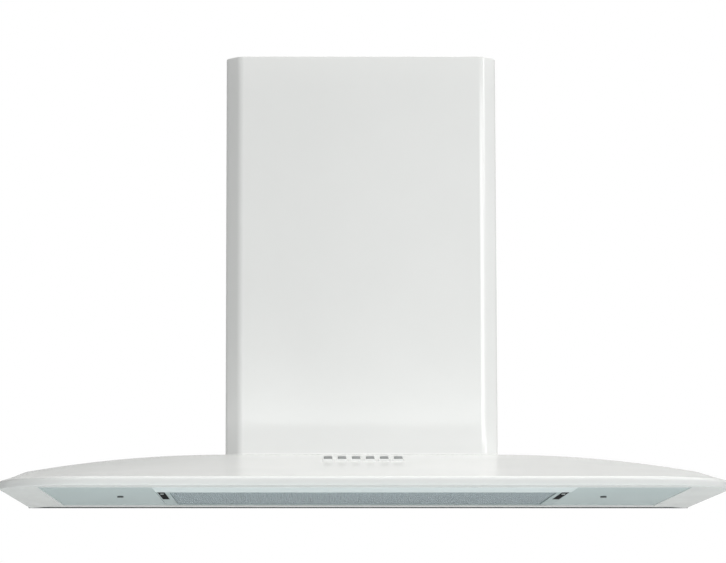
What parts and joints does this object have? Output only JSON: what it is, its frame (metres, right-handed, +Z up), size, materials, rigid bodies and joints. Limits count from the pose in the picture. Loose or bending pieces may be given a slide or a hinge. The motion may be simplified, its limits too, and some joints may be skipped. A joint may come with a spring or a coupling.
{
  "type": "wall-mounted chimney range hood",
  "caption": "Wall-mounted chimney hood with a curved pillow-shaped canopy, drop-down grease filter, push buttons and telescopic cover.",
  "frame": {"origin": "centre of the four wall screw holes, on the plane of the wall", "axes": "+X to the right as seen from the front, +Y into the wall, +Z up"},
  "size_m": [0.9, 0.5, 0.5725],
  "materials": {
    "white_enamel": "gloss white enamel",
    "pale_panel": "satin light grey paint",
    "lamp_plastic": "frosted pale diffuser",
    "filter_metal": "satin anodised",
    "mesh_metal": "expanded mesh",
    "black_plastic": "fine grain",
    "thumb_plastic": "fine grain",
    "button_plastic": "fine grain",
    "bezel_white": "gloss",
    "board_green": "coated board",
    "zinc_sheet": "zinc-coated sheet",
    "steel_part": "turned steel",
    "dark_steel": "black finish",
    "grey_plastic": "moulded",
    "motor_cast": "cast and wound motor",
    "lamp_glass": "frosted lamp",
    "cap_brass": "nickel-plated",
    "holder_ceramic": "ceramic"
  },
  "bodies": {
    "hood": {"canopy_shell": "white_enamel", "underside_panel": "pale_panel", "panel_posts": "steel_part", "panel_knob_screws": "dark_steel", "cross_rail": "zinc_sheet", "lamp_cover": "lamp_plastic", "lamp_shield": "zinc_sheet", "lamp_bulb_left": "lamp_glass", "lamp_bulb_right": "lamp_glass", "lamp_cap_left": "cap_brass", "lamp_cap_right": "cap_brass", "lamp_holder_left": "holder_ceramic", "lamp_holder_right": "holder_ceramic", "hinge_ear_left": "zinc_sheet", "hinge_ear_right": "zinc_sheet", "button_bezels": "bezel_white", "button_block": "grey_plastic", "control_board": "board_green", "push_switches": "black_plastic", "wall_frame": "zinc_sheet", "blower_box": "zinc_sheet", "blower_housing_left": "grey_plastic", "blower_housing_right": "grey_plastic", "motor_body": "motor_cast", "motor_bracket": "zinc_sheet", "capacitor": "motor_cast", "capacitor_clamp": "zinc_sheet", "outlet_collar": "grey_plastic", "flap_pin": "steel_part", "terminal_box": "grey_plastic", "terminal_cover": "grey_plastic", "terminal_block": "lamp_plastic", "cable_gland": "black_plastic", "lower_chimney": "white_enamel", "chimney_feet": "zinc_sheet", "collar_screws": "steel_part"},
    "filter": {"filter_frame": "filter_metal", "filter_grille": "filter_metal", "filter_mesh": "mesh_metal", "filter_retainer": "filter_metal", "filter_hinge_pins": "steel_part", "latch_housing_left": "black_plastic", "latch_housing_right": "black_plastic"},
    "latch_left": {"latch_slider_left": "thumb_plastic"},
    "latch_right": {"latch_slider_right": "thumb_plastic"},
    "wheel": {"impeller": "zinc_sheet", "motor_shaft": "steel_part"},
    "flap_left": {"flap_left": "grey_plastic"},
    "flap_right": {"flap_right": "grey_plastic"},
    "upper_cover": {"upper_chimney": "white_enamel", "chimney_bracket": "zinc_sheet"},
    "button_1": {"push_button_1": "button_plastic"},
    "button_2": {"push_button_2": "button_plastic"},
    "button_3": {"push_button_3": "button_plastic"},
    "button_4": {"push_button_4": "button_plastic"},
    "button_5": {"push_button_5": "button_plastic"},
    "button_6": {"push_button_6": "button_plastic"}
  },
  "joints": [
    {"name": "push_button_1_press", "type": "slide", "parent": "hood", "child": "button_1", "axis": [0, 0.1803, -0.9836], "range_m": [0, 0.002], "stiffness_N_per_m": 600, "springref_m": -0.001},
    {"name": "push_button_2_press", "type": "slide", "parent": "hood", "child": "button_2", "axis": [0, 0.1803, -0.9836], "range_m": [0, 0.002], "stiffness_N_per_m": 600, "springref_m": -0.001},
    {"name": "push_button_3_press", "type": "slide", "parent": "hood", "child": "button_3", "axis": [0, 0.1803, -0.9836], "range_m": [0, 0.002], "stiffness_N_per_m": 600, "springref_m": -0.001},
    {"name": "push_button_4_press", "type": "slide", "parent": "hood", "child": "button_4", "axis": [0, 0.1803, -0.9836], "range_m": [0, 0.002], "stiffness_N_per_m": 600, "springref_m": -0.001},
    {"name": "push_button_5_press", "type": "slide", "parent": "hood", "child": "button_5", "axis": [0, 0.1803, -0.9836], "range_m": [0, 0.002], "stiffness_N_per_m": 600, "springref_m": -0.001},
    {"name": "push_button_6_press", "type": "slide", "parent": "hood", "child": "button_6", "axis": [0, 0.1803, -0.9836], "range_m": [0, 0.002], "stiffness_N_per_m": 600, "springref_m": -0.001},
    {"name": "latch_left_pull", "type": "slide", "parent": "filter", "child": "latch_left", "axis": [0, 1, 0], "range_m": [0, 0.008], "stiffness_N_per_m": 200, "springref_m": -0.005},
    {"name": "latch_right_pull", "type": "slide", "parent": "filter", "child": "latch_right", "axis": [0, 1, 0], "range_m": [0, 0.008], "stiffness_N_per_m": 200, "springref_m": -0.005},
    {"name": "filter_drop", "type": "hinge", "parent": "hood", "child": "filter", "pos_m": [0, -0.068, -0.184], "axis": [1, 0, 0], "range_deg": [0, 75]},
    {"name": "impeller_spin", "type": "hinge", "parent": "hood", "child": "wheel", "pos_m": [0, -0.115, -0.011], "axis": [1, 0, 0], "continuous": true},
    {"name": "flap_left_open", "type": "hinge", "parent": "hood", "child": "flap_left", "pos_m": [0, -0.171, 0.1515], "axis": [0, 1, 0], "range_deg": [0, 80]},
    {"name": "flap_right_open", "type": "hinge", "parent": "hood", "child": "flap_right", "pos_m": [0, -0.171, 0.1515], "axis": [0, -1, 0], "range_deg": [0, 80]},
    {"name": "upper_chimney_slide", "type": "slide", "parent": "hood", "child": "upper_cover", "axis": [0, 0, 1], "range_m": [0, 0.35]}
  ]
}
